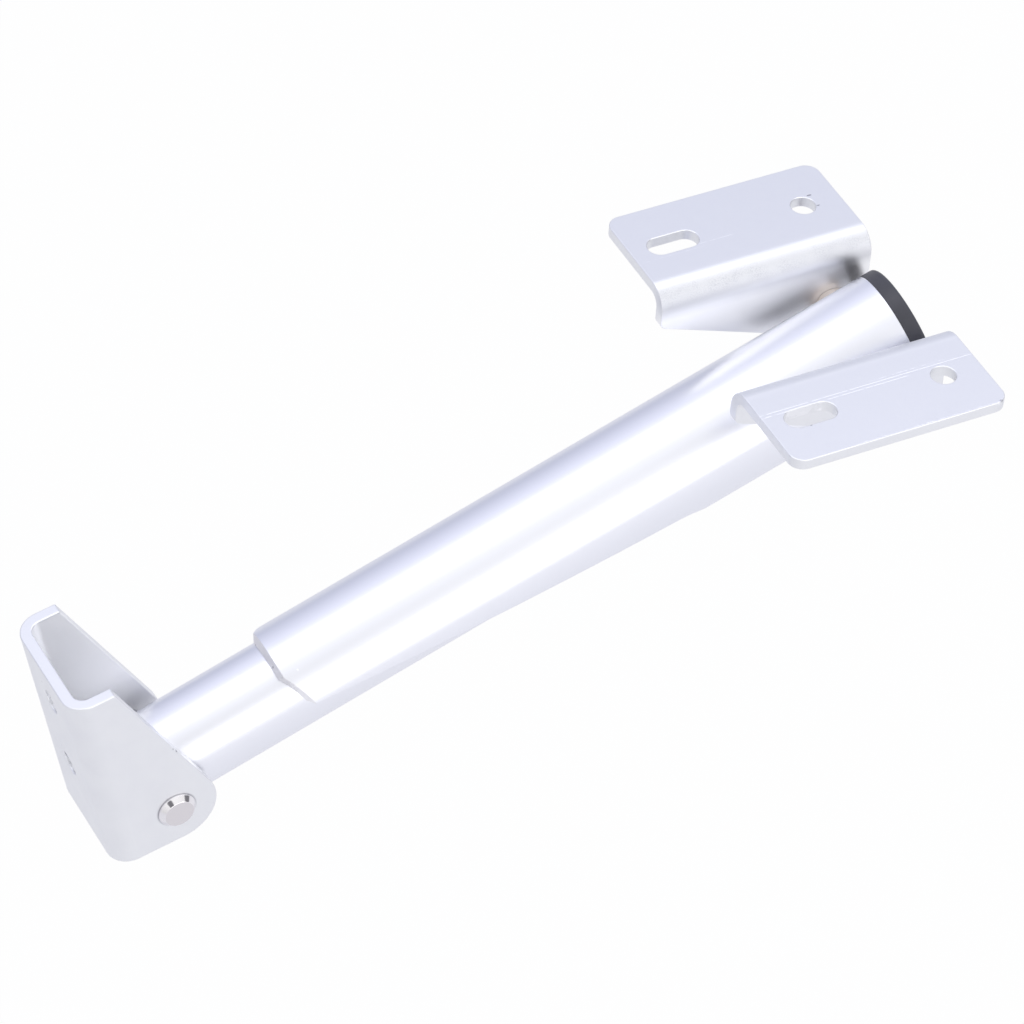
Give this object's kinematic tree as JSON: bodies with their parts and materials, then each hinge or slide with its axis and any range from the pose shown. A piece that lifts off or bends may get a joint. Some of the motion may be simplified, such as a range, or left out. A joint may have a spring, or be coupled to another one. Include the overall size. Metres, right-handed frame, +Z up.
{
  "type": "folding table bracket",
  "caption": "Folding bracket: a tube strut with a knee joint between a wall channel and two angle brackets that screw under a table top.",
  "frame": {"origin": "midway between the two wall screw holes, on the back face of the wall channel", "axes": "+X straight out from the wall, +Z up, +Y across, towards the far side of the picture"},
  "size_m": [0.3143, 0.1298, 0.0861],
  "materials": {
    "sheet_steel": "bright zinc-plated or stainless sheet, satin, with bare cut edges",
    "tube_aluminium": "satin anodised aluminium tube",
    "bright_fastener": "bright plated steel",
    "black_plastic": "black moulded plastic, satin",
    "nylon": "natural cream nylon"
  },
  "bodies": {
    "wall_channel": {"wall_bracket": "sheet_steel", "wall_pivot_bolt": "bright_fastener", "wall_pivot_nut": "bright_fastener", "wall_washer_near": "bright_fastener", "wall_washer_far": "bright_fastener"},
    "lower_strut": {"inner_tube": "tube_aluminium", "inner_tube_plug": "black_plastic", "wall_pivot_sleeve": "bright_fastener", "knee_pin": "bright_fastener", "knee_spacer_near": "nylon", "knee_spacer_far": "nylon"},
    "upper_strut": {"outer_tube": "tube_aluminium", "knee_arm": "sheet_steel", "knee_bush": "nylon", "arm_guide": "black_plastic", "end_cap": "black_plastic", "table_pivot_sleeve": "bright_fastener", "table_pivot_bolt": "bright_fastener", "table_pivot_nut": "bright_fastener", "table_washer_near": "nylon", "table_washer_far": "nylon"},
    "near_table_angle": {"table_bracket_near": "sheet_steel"},
    "far_table_angle": {"table_bracket_far": "sheet_steel"}
  },
  "joints": [
    {"name": "wall_pivot", "type": "hinge", "parent": "wall_channel", "child": "lower_strut", "pos_m": [0.0243, 0, -0.0322], "axis": [0, -1, 0], "range_deg": [-96, 83]},
    {"name": "knee", "type": "hinge", "parent": "lower_strut", "child": "upper_strut", "pos_m": [0.16014, 0, -0.01986], "axis": [0, 1, 0], "range_deg": [0, 152]},
    {"name": "near_table_pivot", "type": "hinge", "parent": "upper_strut", "child": "near_table_angle", "pos_m": [0.29524, 0, -0.00127], "axis": [0, 1, 0], "range_deg": [-19.9, 70]},
    {"name": "far_table_pivot", "type": "hinge", "parent": "upper_strut", "child": "far_table_angle", "pos_m": [0.29524, 0, -0.00127], "axis": [0, 1, 0], "range_deg": [-19.9, 70]}
  ]
}
